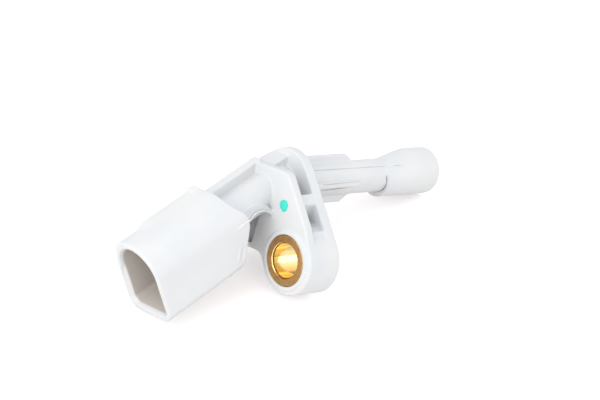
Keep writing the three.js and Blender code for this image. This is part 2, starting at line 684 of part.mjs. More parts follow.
const housingMesh = piece("housing", housing(), moulding);
piece("compression_bush", compressionBush(), brass);
piece("inspection_dot", inspectionDot(), paint);
piece("terminal_supply", terminal(1), tinned);
piece("terminal_signal", terminal(-1), tinned);
piece("chip_lead_supply", leadShape(1), tinned);
piece("chip_lead_signal", leadShape(-1), tinned);
piece("sensing_chip", sensingChip(), resin);
piece("capacitor_body", capacitor(), resin);
piece("flux_plate", fluxPlate(), steel);
piece("bias_magnet", magnetBlock(), magnetic);
piece("carrier", carrier(), insert);

// The lowest point of the housing between two distances along the stem, for a given way up
function lowestPoint(start, end, up) {
  const position = housingMesh.geometry.attributes.position;
  const point = new THREE.Vector3();
  const lowest = new THREE.Vector3(start, 0, BEYOND);
  for (let i = 0; i < position.count; i += 1) {
    point.fromBufferAttribute(position, i);
    const inside = point.x >= start && point.x <= end;
    if (inside && point.dot(up) < lowest.dot(up)) lowest.copy(point);
  }
  return lowest;
}

// Settles the part on the floor, on three points: one each on the socket, the flange and the head
function settle() {
  const up = REST_UP.clone().normalize();
  const normal = new THREE.Vector3();
  for (let i = 0; i < 12; i += 1) {
    const feet = REST_ZONES.map(([start, end]) => lowestPoint(start, end, up));
    normal.crossVectors(feet[1].sub(feet[0]), feet[2].sub(feet[0])).normalize();
    up.copy(normal).multiplyScalar(Math.sign(normal.dot(up)));
  }
  const forward = X.clone().addScaledVector(up, -X.dot(up)).normalize();
  const left = up.clone().cross(forward);
  const turn = new THREE.Matrix4().makeBasis(forward, left, up).transpose();
  moulded.quaternion.setFromRotationMatrix(turn);
  moulded.updateMatrixWorld(true);
  const bounds = new THREE.Box3().setFromObject(moulded, true);
  const middle = bounds.getCenter(new THREE.Vector3());
  moulded.position.set(-middle.x, -middle.y, -bounds.min.z);
}

settle();

export default part;
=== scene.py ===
"""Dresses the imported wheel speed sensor: moulding, bush, paint dab, flash, inner parts, floor and light.

Lengths are in metres, except where a comment says millimetres. The sensor is drawn in its moulding's own
frame: x along the stem towards the sensing tip from the mounting face, y across the bend, z away from the
side to which the socket is bent.
"""

import json
import math

import bmesh
import bpy
import numpy as np
from bpy.props import FloatProperty, FloatVectorProperty, IntProperty, PointerProperty
from mathutils import Matrix, Vector


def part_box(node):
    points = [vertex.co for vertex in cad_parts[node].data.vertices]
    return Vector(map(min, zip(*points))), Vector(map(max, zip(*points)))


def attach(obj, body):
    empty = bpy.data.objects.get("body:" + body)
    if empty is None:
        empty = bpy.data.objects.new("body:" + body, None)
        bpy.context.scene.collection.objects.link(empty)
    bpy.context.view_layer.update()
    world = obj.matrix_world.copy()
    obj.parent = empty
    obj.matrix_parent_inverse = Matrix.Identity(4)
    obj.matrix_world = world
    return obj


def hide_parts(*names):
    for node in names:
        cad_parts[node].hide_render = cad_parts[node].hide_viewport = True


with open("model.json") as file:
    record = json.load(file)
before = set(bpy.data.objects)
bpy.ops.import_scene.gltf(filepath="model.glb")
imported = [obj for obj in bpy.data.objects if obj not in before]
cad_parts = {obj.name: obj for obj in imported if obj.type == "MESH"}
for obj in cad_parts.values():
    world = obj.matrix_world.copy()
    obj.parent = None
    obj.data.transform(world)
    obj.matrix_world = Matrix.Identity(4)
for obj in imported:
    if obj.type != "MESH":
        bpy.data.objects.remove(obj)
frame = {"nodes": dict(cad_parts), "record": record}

bl_info = {
    "name": "Wheel speed sensor dressing",
    "version": (1, 0, 0),
    "blender": (4, 5, 0),
    "location": "View3D > Sidebar > Sensor",
    "description": "Builds the fine moulding, the bush, the marks and the stage round the sensor's frame",
    "category": "Object",
}

MM = 0.001

# The moulding: the angle by which the socket bends off the stem's line, and the leaning line from the stem's
# axis to the bush's middle, on which the mounting face's recorded point lies FACE_POINT_DROP from that axis
BEND = math.radians(28)
BUSH_TURN = math.radians(36)
BUSH_LINE = Vector((0, -math.sin(BUSH_TURN), -math.cos(BUSH_TURN)))
BUSH_SPACING = 16 * MM
FACE_POINT_DROP = 8.4 * MM
FLANGE_DEPTH = 8 * MM
COLLAR_RISE = 0.45 * MM

# The camera of the photograph, in the moulding's frame
CAMERA_PLACE = Vector((-240.5748, -242.1759, 77.4014)) * MM
CAMERA_RIGHT = Vector((0.721143, -0.679023, 0.137407))
CAMERA_UP = Vector((0.062417, 0.261215, 0.963261))
CAMERA_LENS = 105.9988


def mount(name):
    """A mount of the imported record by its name."""
    return next(row for row in frame["record"]["mounts"] if row["name"] == name)


def moulding_placing():
    """The matrix that takes a point of the moulding's frame to the sensor's resting place."""
    face = mount("mounting_face")
    x = Vector(face["axis"]).normalized()
    along = Vector(mount("socket_rim")["axis"]).normalized()
    bend = math.acos(-x.dot(along))
    z = (-(along + x * math.cos(bend)) / math.sin(bend)).normalized()
    y = z.cross(x)
    turn = Matrix((x, y, z)).transposed()
    drop = BUSH_LINE * FACE_POINT_DROP
    return Matrix.Translation(Vector(face["pos_m"]) - turn @ drop) @ turn.to_4x4()


PLACING = moulding_placing()
SOCKET_LINE = Vector((-math.cos(BEND), 0, -math.sin(BEND)))
BUSH_PLACING = PLACING @ Matrix.Translation(BUSH_LINE * BUSH_SPACING)


class SensorSizes(bpy.types.PropertyGroup):
    """Sizes of the details that the dressing adds."""

    voxel: FloatProperty(
        name="Moulding voxel", description="Size of the cells that the moulding is rebuilt from",
        default=0.15 * MM, min=0.08 * MM, max=1 * MM, precision=6, unit="LENGTH",
    )
    rounding: IntProperty(
        name="Edge rounding", description="Smoothing passes that round the moulding's edges",
        default=3, min=0, max=60,
    )
    faces: IntProperty(
        name="Moulding triangles", description="Most triangles that the finished moulding may have",
        default=186000, min=20000, max=199000,
    )
    bore_radius: FloatProperty(
        name="Bore radius", description="Radius of the bush's bore",
        default=3.5 * MM, precision=6, unit="LENGTH",
    )
    bush_radius: FloatProperty(
        name="Bush radius", description="Outer radius of the bush",
        default=5 * MM, precision=6, unit="LENGTH",
    )
    dab_radius: FloatProperty(
        name="Dab radius", description="Radius of the dab of paint",
        default=1.15 * MM, precision=6, unit="LENGTH",
    )


class SensorColours(bpy.types.PropertyGroup):
    """Colours of the sensor's finishes."""

    plastic: FloatVectorProperty(
        name="Plastic", description="Pale moulded plastic of the housing",
        default=(0.685, 0.695, 0.705), size=3, subtype="COLOR",
    )
    bronze: FloatVectorProperty(
        name="Bush face", description="Dull end faces of the bush",
        default=(0.6, 0.35, 0.14), size=3, subtype="COLOR",
    )
    gold: FloatVectorProperty(
        name="Bush bore", description="Bright bore of the bush",
        default=(1.0, 0.83, 0.41), size=3, subtype="COLOR",
    )
    paint: FloatVectorProperty(
        name="Paint", description="Dab of inspection paint",
        default=(0.035, 0.72, 0.58), size=3, subtype="COLOR",
    )
    tin: FloatVectorProperty(
        name="Tin", description="Tin plating of the terminals",
        default=(0.62, 0.61, 0.58), size=3, subtype="COLOR",
    )
    floor: FloatVectorProperty(
        name="Floor", description="Pale floor under the sensor",
        default=(0.88, 0.85, 0.84), size=3, subtype="COLOR",
    )


class Graph:
    """A material's node tree, built up with short calls."""

    def __init__(self, tree):
        self.tree = tree
        self.tree.nodes.clear()

    def add(self, kind, inputs=None, **settings):
        node = self.tree.nodes.new(kind)
        for name, value in settings.items():
            setattr(node, name, value)
        for name, value in (inputs or {}).items():
            self.feed(node, name, value)
        return node

    def feed(self, node, name, value):
        socket = node.inputs[name]
        if isinstance(value, bpy.types.NodeSocket):
            self.tree.links.new(value, socket)
        elif socket.type == "RGBA" and len(value) == 3:
            socket.default_value = (*value, 1)
        else:
            socket.default_value = value

    def place(self, home=None):
        found = self.add("ShaderNodeTexCoord").outputs["Object"]
        if home is None:
            return found
        back = home.inverted()
        inputs = {"Vector": found, "Location": back.to_translation(), "Rotation": back.to_euler()}
        return self.add("ShaderNodeMapping", inputs).outputs["Vector"]

    def scaled(self, vector, scale):
        return self.add("ShaderNodeMapping", {"Vector": vector, "Scale": scale}).outputs["Vector"]

    def noise(self, vector, scale, detail=2.0, roughness=0.5):
        inputs = {"Vector": vector, "Scale": scale, "Detail": detail, "Roughness": roughness}
        return self.add("ShaderNodeTexNoise", inputs).outputs["Fac"]

    def openness(self, reach):
        inputs = {"Distance": reach}
        return self.add("ShaderNodeAmbientOcclusion", inputs, samples=8, only_local=True).outputs["AO"]

    def ranged(self, value, low, high, start=0.0, end=1.0):
        inputs = {"Value": value, "From Min": start, "From Max": end, "To Min": low, "To Max": high}
        return self.add("ShaderNodeMapRange", inputs).outputs["Result"]

    def math(self, operation, a, b=0.0):
        return self.add("ShaderNodeMath", {0: a, 1: b}, operation=operation).outputs[0]

    def mixed(self, kind, share, a, b):
        node = self.add("ShaderNodeMix", data_type=kind)
        self.feed(node, "Factor", share)
        wanted = "RGBA" if kind == "RGBA" else "VALUE"
        places = [i for i, socket in enumerate(node.inputs) if socket.type == wanted][-2:]
        for index, value in zip(places, (a, b)):
            self.feed(node, index, value)
        return next(socket for socket in node.outputs if socket.type == wanted)

    def blended(self, share, a, b):
        return self.mixed("RGBA", share, a, b)

    def bump(self, height, distance, strength=1.0, normal=None):
        inputs = {"Height": height, "Distance": distance, "Strength": strength}
        node = self.add("ShaderNodeBump", inputs)
        if normal is not None:
            self.feed(node, "Normal", normal)
        return node.outputs["Normal"]

    def surface(self, inputs):
        shader = self.add("ShaderNodeBsdfPrincipled", inputs)
        self.add("ShaderNodeOutputMaterial", {"Surface": shader.outputs[0]})


def graph_for(name):
    """A new material and its empty graph."""
    material = bpy.data.materials.new(name)
    material.use_nodes = True
    return material, Graph(material.node_tree)


def toned(colour, factors, lift=0, most=1):
    """A colour with its channels multiplied, by a factor each or by one for all, raised and kept to most."""
    if not isinstance(factors, tuple):
        factors = (factors,) * 3
    return tuple(min(most, c * k + lift) for c, k in zip(colour, factors))


# How far the painted shade of the moulding's crevices and of its socket reaches, and the stretch along the
# socket's line over which the inside of the socket takes its warm painted shade
CREVICE_REACH = 7 * MM
SOCKET_SHADE_REACH = 30 * MM
SOCKET_PAINTED_SHADE_SPAN = (18 * MM, 21 * MM)


def moulded_plastic(name, colour):
    """Pale satin plastic: cloudy tone, fine grain, faint waves, and painted shade in crevices and in the
    socket.
    """
    material, g = graph_for(name)
    place = g.place(PLACING)
    cloud = g.noise(place, 95, 3)
    flow = g.noise(g.scaled(place, (90, 420, 420)), 1, 2)
    grain = g.noise(place, 3800, 3, 0.6)
    deep = toned(colour, (0.955, 0.965, 0.985))
    pale = toned(colour, (1.02, 1.015, 1.0))
    tone = g.blended(g.ranged(cloud, 0, 1, 0.35, 0.65), deep, pale)
    tone = g.blended(g.ranged(grain, 0, 0.05, 0.55, 0.8), tone, deep)
    # Painted shade: the plastic darkens where the room's light hardly reaches, in crevices and pockets
    crevice_painted_shade = g.ranged(g.openness(CREVICE_REACH), 0.7, 0, 0.02, 0.22)
    tone = g.blended(crevice_painted_shade, tone, toned(colour, (0.50, 0.49, 0.49)))
    # Painted shade: a warm darker tone deep inside the socket, where it is enclosed
    inputs = {0: place, 1: SOCKET_LINE}
    along = g.add("ShaderNodeVectorMath", inputs, operation="DOT_PRODUCT").outputs["Value"]
    enclosed = g.ranged(g.openness(SOCKET_SHADE_REACH), 1, 0, 0.45, 0.7)
    inside = g.math("MULTIPLY", g.ranged(along, 0, 1, *SOCKET_PAINTED_SHADE_SPAN), enclosed)
    tone = g.blended(inside, tone, toned(colour, (0.84, 0.77, 0.70)))
    rough = g.math("ADD", g.ranged(grain, 0.46, 0.6), g.ranged(flow, -0.03, 0.05))
    waves = g.bump(g.noise(place, 260, 2), 0.03 * MM, 0.35)
    normal = g.bump(grain, 0.008 * MM, 0.6, waves)
    g.surface({"Base Color": tone, "Roughness": rough, "Normal": normal, "IOR": 1.5})
    return material


def bush_face_finish(name, colour):
    """Dull bronze end face with the rings that the turning tool left, and a darker skin in patches."""
    material, g = graph_for(name)
    place = g.place(BUSH_PLACING)
    inputs = {"Vector": place, "Scale": 900, "Distortion": 0.6, "Detail": 2, "Detail Scale": 2}
    wave = g.add("ShaderNodeTexWave", inputs, wave_type="RINGS", rings_direction="X")
    rings = wave.outputs["Fac"]
    skin = g.noise(place, 1500, 4, 0.6)
    dark = toned(colour, 0.8)
    light = toned(colour, 1.15)
    tone = g.blended(g.ranged(skin, 0, 1, 0.35, 0.7), dark, light)
    tone = g.blended(g.ranged(rings, 0, 0.25), tone, light)
    rough = g.math("ADD", g.ranged(skin, 0.36, 0.52), g.ranged(rings, -0.05, 0.05))
    normal = g.bump(rings, 0.02 * MM, 0.5, g.bump(skin, 0.02 * MM, 0.4))
    g.surface({"Base Color": tone, "Metallic": 1.0, "Roughness": rough, "Normal": normal})
    return material


# Heights under the bush's axis between which the bore darkens towards its foot, as painted shade of its
# reflections
BORE_FOOT_PAINTED_SHADE = (-2.9 * MM, -1.3 * MM)


def bush_bore_finish(name, colour):
    """Bright drawn bore: gold with fine lines round it, cloudy, and with painted shade darkening it towards
    its foot.
    """
    material, g = graph_for(name)
    place = g.place(BUSH_PLACING)
    rings = g.noise(g.scaled(place, (9000, 300, 300)), 1, 3, 0.6)
    blotch = g.noise(place, 420, 3)
    deep = toned(colour, (0.97, 0.93, 0.85))
    tone = g.blended(g.ranged(blotch, 0, 1, 0.35, 0.7), deep, colour)
    # Painted shade: the bore's colour darkens towards its foot, where its reflections are darker
    level = g.add("ShaderNodeSeparateXYZ", {"Vector": place}).outputs["Z"]
    tone = g.blended(g.ranged(level, 1, 0, *BORE_FOOT_PAINTED_SHADE), tone, toned(colour, (0.72, 0.5, 0.32)))
    rough = g.math("ADD", g.ranged(rings, 0.08, 0.16), g.ranged(blotch, -0.01, 0.03))
    normal = g.bump(rings, 0.003 * MM, 0.3)
    g.surface({"Base Color": tone, "Metallic": 1.0, "Roughness": rough, "Normal": normal})
    return material


def paint_finish(name, colour):
    """Brushed-on paint, streaked along the brush's way."""
    material, g = graph_for(name)
    place = g.place(PLACING)
    streak = g.noise(g.scaled(place, (900, 900, 3200)), 1, 3, 0.6)
    deep = toned(colour, 0.88)
    pale = toned(colour, 1.05, lift=0.01)
    tone = g.blended(g.ranged(streak, 0, 1, 0.3, 0.7), deep, pale)
    rough = g.ranged(streak, 0.3, 0.5)
    normal = g.bump(streak, 0.03 * MM, 0.6)
    g.surface({"Base Color": tone, "Roughness": rough, "Normal": normal})
    return material


def tinned_finish(name, colour):
    """Tin-plated or plain metal strip: fine drawn lines, with a few duller clouds."""
    material, g = graph_for(name)
    place = g.place()
    lines = g.noise(g.scaled(place, (500, 7000, 7000)), 1, 3, 0.6)
    cloud = g.noise(place, 600, 3)
    dull = toned(colour, 0.8)
    tone = g.blended(g.ranged(cloud, 0, 1, 0.35, 0.65), dull, colour)
    rough = g.math("ADD", g.ranged(lines, 0.22, 0.38), g.ranged(cloud, 0, 0.08))
    normal = g.bump(lines, 0.01 * MM, 0.4)
    g.surface({"Base Color": tone, "Metallic": 1.0, "Roughness": rough, "Normal": normal})
    return material


def resin_finish(name, colour):
    """Dark moulded resin or sintered block with a fine mineral grain."""
    material, g = graph_for(name)
    place = g.place()
    grain = g.noise(place, 5200, 3, 0.65)
    cloud = g.noise(place, 500, 2)
    pale = toned(colour, 1.7, lift=0.01)
    tone = g.blended(g.ranged(grain, 0, 0.6, 0.4, 0.75), colour, pale)
    rough = g.math("ADD", g.ranged(grain, 0.5, 0.68), g.ranged(cloud, -0.04, 0.04))
    normal = g.bump(grain, 0.015 * MM, 0.5)
    g.surface({"Base Color": tone, "Roughness": rough, "Normal": normal})
    return material


def piece_from(name, mesh, matrix=PLACING, materials=()):
    """A new object of the scene with its materials, in the moulding's frame unless another is given."""
    for material in materials:
        mesh.materials.append(material)
    piece = bpy.data.objects.new(name, mesh)
    bpy.context.scene.collection.objects.link(piece)
    piece.matrix_world = matrix
    return piece


def settle(piece):
    """Puts a piece's placing into its mesh, so that its box is the sensor's own, and hands it to the body."""
    piece.data.transform(piece.matrix_world)
    piece.matrix_world = Matrix.Identity(4)
    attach(piece, "root")


def baked(piece):
    """Applies a piece's modifiers and gives it the mesh that they make."""
    bpy.context.view_layer.update()
    made = piece.evaluated_get(bpy.context.evaluated_depsgraph_get())
    mesh = bpy.data.meshes.new_from_object(made)
    old = piece.data
    piece.modifiers.clear()
    piece.data = mesh
    bpy.data.meshes.remove(old)
    return mesh


def positions(mesh):
    """A mesh's points as an array."""
    co = np.empty(len(mesh.vertices) * 3, np.float32)
    mesh.vertices.foreach_get("co", co)
    return co.reshape(-1, 3).astype(float)


# Share of the way to the middle of its neighbours that a point moves in a smoothing pass
SMOOTHING_SHARE = 0.5


def smooth(mesh, passes):
    """Moves each point of a mesh towards the middle of its neighbours, several times."""
    co = positions(mesh)
    edges = np.empty(len(mesh.edges) * 2, np.int32)
    mesh.edges.foreach_get("vertices", edges)
    a, b = edges.reshape(-1, 2).T
    degree = np.maximum(np.bincount(a, minlength=len(co)) + np.bincount(b, minlength=len(co)), 1)
    for _ in range(passes):
        middle = np.empty_like(co)
        for k in range(3):
            total = np.bincount(a, co[b, k], len(co)) + np.bincount(b, co[a, k], len(co))
            middle[:, k] = total / degree
        co += (middle - co) * SMOOTHING_SHARE
    mesh.vertices.foreach_set("co", co.astype(np.float32).ravel())
    mesh.update()


# The web under the neck, in millimetres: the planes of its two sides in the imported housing, how far both
# move away from the camera's side, how near its plane a point has to be, and the web's reach in x and z
WEB_SIDES = (-0.6, 1.6)
WEB_SET_BACK = 1.9
WEB_CLOSENESS = 0.002
WEB_SPAN = ((-18, -7.4), (-13.6, -3))

# The deep slot beside the heel, behind the front plate's near edge, in millimetres: (y, z) outline and
# reach in x
HEEL_SLOT = [(-0.25, -5.5), (0.9, -12.3), (2.6, -12.3), (2.6, -5.5)]
HEEL_SLOT_REACH = (-10.6, -6.9)

# The rounded corner where the front plate's foot runs into the boss, in millimetres: (y, z) outline, first
# its round stretch and then its root, and its reach in x
CORNER_ROUND = [(-0.85, -13.4), (-1.62, -13.55), (-2.2, -13.95), (-2.6, -14.42), (-2.77, -14.85)]
CORNER_ROOT = [(-4.2, -14.6), (-4.2, -13.0), (-0.85, -13.0)]
CORNER_REACH = (-8, -6)

# The slanting bottom of the lower pocket, in millimetres: (y, z) outline and reach in x
POCKET_FILL = [(-9.5, -2.0), (-7.3, -6.9), (-4.5, -6.9), (-4.5, -2.0)]
POCKET_REACH = (-6.2, -2.0)

# Two short ribs low on the socket's near side, by its heel, in millimetres: x, low z and high z of each, the
# side's own plane, and how far a rib stands out of it, is sunk into it and reaches to either side of its x
HEEL_RIBS = [(-17.75, -13.0, -10.35), (-16.35, -12.7, -10.7)]
SOCKET_NEAR_SIDE = -6.7
RIB_RISE = 0.16
RIB_ROOT = 1
RIB_HALF = 0.14

# The socket's opening, in millimetres: its middle across and the level of its arch's centre, its half width,
# its foot, how deep behind the rim it is widened and with what slack, and how much thinner its far wall gets
MOUTH_SIDE = 0.4
MOUTH_LEVEL = -0.16
MOUTH_REACH = 4.9
MOUTH_FOOT = -8.7
MOUTH_DEPTH = 0.3
MOUTH_SLACK = 0.2
MOUTH_THINNING = 0.75


def prism(bm, outline, low, high):
    """Adds a closed prism in millimetres from a flat (y, z) outline, between two places along x."""
    rings = [[bm.verts.new(Vector((x, y, z)) * MM) for y, z in outline] for x in (low, high)]
    count = len(outline)
    faces = [bm.faces.new(ring) for ring in rings]
    for i in range(count):
        j = (i + 1) % count
        faces.append(bm.faces.new((rings[0][i], rings[0][j], rings[1][j], rings[1][i])))
    bmesh.ops.recalc_face_normals(bm, faces=faces)


def thin_mouth(bm):
    """Widens the socket's mouth towards its far side, as the draft of the mould leaves it."""
    rise = Vector((SOCKET_LINE.z, 0, -SOCKET_LINE.x))
    rim = max(vert.co.dot(SOCKET_LINE) for vert in bm.verts)
    for vert in bm.verts:
        across = vert.co.y / MM - MOUTH_SIDE
        up = vert.co.dot(rise) / MM - MOUTH_LEVEL
        away = math.hypot(across, up) if up > 0 else abs(across)
        at_rim = vert.co.dot(SOCKET_LINE) > rim - MOUTH_DEPTH * MM
        in_opening = away < MOUTH_REACH + MOUTH_SLACK and up > MOUTH_FOOT
        if at_rim and in_opening and across > 0:
            vert.co.y += MOUTH_THINNING * MM * across / MOUTH_REACH


def set_back_web(bm):
    """Moves both sides of the web under the neck away from the camera's side."""
    (x0, x1), (z0, z1) = WEB_SPAN
    for vert in bm.verts:
        x, y, z = vert.co / MM
        on_side = min(abs(y - side) for side in WEB_SIDES) < WEB_CLOSENESS
        if on_side and x0 < x < x1 and z0 < z < z1:
            vert.co.y += WEB_SET_BACK * MM


def shift_walls(mesh):
    """Moves the web's sides, and the inner face of the socket's far wall at its mouth."""
    bm = bmesh.new()
    bm.from_mesh(mesh)
    set_back_web(bm)
    thin_mouth(bm)
    bm.to_mesh(mesh)
    bm.free()


def cut_slot(piece):
    """Cuts the deep slot beside the heel."""
    mesh = bpy.data.meshes.new("slot")
    bm = bmesh.new()
    prism(bm, HEEL_SLOT, *HEEL_SLOT_REACH)
    bm.to_mesh(mesh)
    bm.free()
    cutter = piece_from("slot", mesh)
    cut = piece.modifiers.new("Slot", "BOOLEAN")
    cut.operation = "DIFFERENCE"
    cut.solver = "EXACT"
    cut.object = cutter
    baked(piece)
    bpy.data.objects.remove(cutter)
    bpy.data.meshes.remove(mesh)


def add_fills(mesh):
    """Adds the plate's rounded corner, the lower pocket's slanting bottom and the ribs by the heel."""
    bm = bmesh.new()
    bm.from_mesh(mesh)
    prism(bm, CORNER_ROUND + CORNER_ROOT, *CORNER_REACH)
    prism(bm, POCKET_FILL, *POCKET_REACH)
    root, crown = SOCKET_NEAR_SIDE + RIB_ROOT, SOCKET_NEAR_SIDE - RIB_RISE
    for x, low, high in HEEL_RIBS:
        prism(bm, [(root, low), (crown, low), (crown, high), (root, high)], x - RIB_HALF, x + RIB_HALF)
    bm.to_mesh(mesh)
    bm.free()


def build_moulding():
    """The housing rebuilt fine, with its edges rounded as a mould leaves them."""
    sizes = bpy.context.scene.sensor_sizes
    colours = bpy.context.scene.sensor_colours
    mesh = frame["nodes"]["housing"].data.copy()
    mesh.transform(PLACING.inverted())
    mesh.materials.clear()
    shift_walls(mesh)
    piece = piece_from("moulded_housing", mesh)
    cut_slot(piece)
    add_fills(piece.data)
    remesh = piece.modifiers.new("Fine", "REMESH")
    remesh.mode = "VOXEL"
    remesh.voxel_size = sizes.voxel
    remesh.adaptivity = 0
    mesh = baked(piece)
    smooth(mesh, sizes.rounding)
    thin = piece.modifiers.new("Thin out", "DECIMATE")
    mesh.calc_loop_triangles()
    thin.ratio = min(1.0, sizes.faces / len(mesh.loop_triangles))
    mesh = baked(piece)
    mesh.polygons.foreach_set("use_smooth", [True] * len(mesh.polygons))
    mesh.materials.append(moulded_plastic("moulding", tuple(colours.plastic)))
    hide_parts("housing")
    settle(piece)


# The bush: its length, how far its end stands behind the collar's rim, its broken outer edge with the share
# of it that bulges, and its bore's lead
BUSH_LENGTH = 8.35 * MM
BUSH_SET_IN = 0.1 * MM
BUSH_EDGE = 0.12 * MM
EDGE_BULGE = 0.3
BORE_LEAD = 0.13 * MM

# The groove behind the bore's lead: (distance from the lead, depth) in millimetres, where the bore goes on
# behind it, and its dark colour, which is painted shade
GROOVE = [(0.02, 0), (0.12, 0.12), (0.3, 0.12), (0.4, 0)]
GROOVE_END = 0.42 * MM
GROOVE_PAINTED_SHADE = (0.34, 0.13, 0.035)


def supported(profile, reach=0.04 * MM):
    """A closed profile with more points beside its corners, so that smooth shading turns only there."""
    found = []
    for i, (x, radius, material) in enumerate(profile):
        after = profile[(i + 1) % len(profile)]
        step = Vector((after[0] - x, after[1] - radius))
        found.append((x, radius, material))
        if step.length > 4 * reach:
            near = step.normalized() * reach
            found.append((x + near.x, radius + near.y, material))
            found.append((after[0] - near.x, after[1] - near.y, material))
    return found


def turned_mesh(name, profile, segments=128):
    """A mesh turned round its x axis from closed (x, radius, material) points."""
    mesh = bpy.data.meshes.new(name)
    bm = bmesh.new()
    rings = []
    for x, radius, _ in profile:
        ring = []
        for i in range(segments):
            angle = 2 * math.pi * i / segments
            ring.append(bm.verts.new((x, radius * math.cos(angle), radius * math.sin(angle))))
        rings.append(ring)
    for i, ring in enumerate(rings):
        after = rings[(i + 1) % len(rings)]
        for j in range(segments):
            k = (j + 1) % segments
            face = bm.faces.new((ring[j], ring[k], after[k], after[j]))
            face.material_index = profile[i][2]
            face.smooth = True
    bmesh.ops.recalc_face_normals(bm, faces=bm.faces)
    bm.to_mesh(mesh)
    bm.free()
    return mesh


def build_bush():
    """The turned bush: broken edges, ringed end faces and a bright bore."""
    sizes = bpy.context.scene.sensor_sizes
    colours = bpy.context.scene.sensor_colours
    start = -FLANGE_DEPTH - COLLAR_RISE + BUSH_SET_IN
    end = start + BUSH_LENGTH
    behind_lead = start + BORE_LEAD
    bore, outer = sizes.bore_radius, sizes.bush_radius
    mouth = bore + BORE_LEAD
    rim = outer - BUSH_EDGE
    bulge = BUSH_EDGE * EDGE_BULGE
    face, inside, groove = 0, 1, 2
    profile = [
        (behind_lead + GROOVE_END, bore, inside),
        (end - BORE_LEAD, bore, face),
        (end, mouth, face),
        (end, rim, face),
        (end - bulge, outer - bulge, face),
        (end - BUSH_EDGE, outer, face),
        (start + BUSH_EDGE, outer, face),
        (start + bulge, outer - bulge, face),
        (start, rim, face),
        (start, mouth, inside),
        (behind_lead, bore, inside),
        *((behind_lead + back * MM, bore + depth * MM, groove) for back, depth in GROOVE),
    ]
    mesh = turned_mesh("turned_bush", supported(profile))
    materials = [
        bush_face_finish("bush_face", tuple(colours.bronze)),
        bush_bore_finish("bush_bore", tuple(colours.gold)),
        # The groove's dark colour is painted shade
        bush_face_finish("bush_groove_painted_shade", GROOVE_PAINTED_SHADE),
    ]
    piece = piece_from("turned_bush", mesh, BUSH_PLACING, materials)
    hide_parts("compression_bush")
    settle(piece)


# The paint dab: its height, how much its middle stands above that, its gap to the plate, how many rings and
# points it has, the waves of its ragged edge as (number, height, turn), and how much its top is uneven
DAB_HEIGHT = 0.07 * MM
DAB_CROWN = 0.01 * MM
DAB_GAP = 0.02 * MM
DAB_RINGS = 9
DAB_POINTS = 48
DAB_WAVES = [(3, 0.05, 0.6), (7, 0.035, 0), (13, 0.02, 0)]
DAB_UNEVEN = 0.15


def dab_point(radius, share, angle):
    """A point of the paint dab, a share of the way from its middle to its edge and at an angle round it."""
    ragged = sum((rise * math.sin(waves * angle + turn) for waves, rise, turn in DAB_WAVES), 1)
    reach = radius * share * (1 + (ragged - 1) * share)
    swirl = 1 - DAB_UNEVEN + DAB_UNEVEN * math.sin(5 * angle + 4 * share)
    dome = DAB_HEIGHT * (1 - share**4) * swirl
    return -dome - DAB_CROWN * (1 - share), reach * math.cos(angle), reach * math.sin(angle)


def build_paint_dab():
    """The dab of paint: an uneven round blot, domed, with a ragged edge."""
    sizes = bpy.context.scene.sensor_sizes
    colours = bpy.context.scene.sensor_colours
    low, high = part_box("inspection_dot")
    centre = PLACING.inverted() @ ((low + high) / 2)
    mesh = bpy.data.meshes.new("paint_dab")
    bm = bmesh.new()
    middle = bm.verts.new(dab_point(sizes.dab_radius, 0, 0))
    rings = []
    for i in range(1, DAB_RINGS):
        share = i / (DAB_RINGS - 1)
        angles = (2 * math.pi * j / DAB_POINTS for j in range(DAB_POINTS))
        rings.append([bm.verts.new(dab_point(sizes.dab_radius, share, angle)) for angle in angles])
    for j in range(DAB_POINTS):
        bm.faces.new((middle, rings[0][(j + 1) % DAB_POINTS], rings[0][j]))
    for inner, outer in zip(rings, rings[1:]):
        for j in range(DAB_POINTS):
            k = (j + 1) % DAB_POINTS
            bm.faces.new((inner[j], inner[k], outer[k], outer[j]))
    bm.faces.new(rings[-1])
    bmesh.ops.recalc_face_normals(bm, faces=bm.faces)
    for face in bm.faces:
        face.smooth = len(face.verts) < 5
    bm.to_mesh(mesh)
    bm.free()
    place = Matrix.Translation(Vector((-FLANGE_DEPTH - DAB_GAP, centre.y, centre.z)))
    piece = piece_from("paint_dab", mesh, PLACING @ place, [paint_finish("paint", tuple(colours.paint))])
    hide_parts("inspection_dot")
    settle(piece)


def in_plane(y, places):
    """Points in the plane at y, from their (x, z) places."""
    return [(x, y, z) for x, z in places]


# The arch's lower edge, in millimetres: the plane that it lies in, and curves of four (x, z) points
ARCH_SIDE = -4.4
ARCH_CURVES = [
    [(-8.1, -5.35), (-8.9, -4.6), (-9.6, -4.2), (-11.2, -4.15)],
    [(-11.2, -4.15), (-13.6, -4.1), (-13.4, -5.9), (-14.6, -6.4)],
]

# Lines of flash, in millimetres: the half width of each, and their points on the socket's side, on the front
# plate and on either side of the collar
FLASH_HALF_WIDTH = 0.11
FLASH_LINES = {
    "flash_socket": in_plane(
        -6.72, [(-16.0, -4.85), (-16.8, -5.17), (-17.4, -5.5), (-18.1, -5.85), (-18.7, -6.2), (-19.3, -6.75)]
    ),
    "flash_plate": [(-8.04, -3.5, -5.15), (-8.04, -4.0, -5.5), (-8.04, -4.45, -5.75)],
    "flash_collar_right": [
        (-8.47, -14.9, -13.46),
        (-8.47, -15.2, -13.5),
        (-8.1, -15.36, -13.6),
        (-8.0, -16.0, -13.6),
        (-7.3, -16.28, -13.66),
    ],
    "flash_collar_left": [
        (-8.03, -2.95, -12.25),
        (-8.1, -3.4, -12.2),
        (-8.47, -3.9, -12.2),
        (-8.47, -4.3, -12.3),
    ],
}
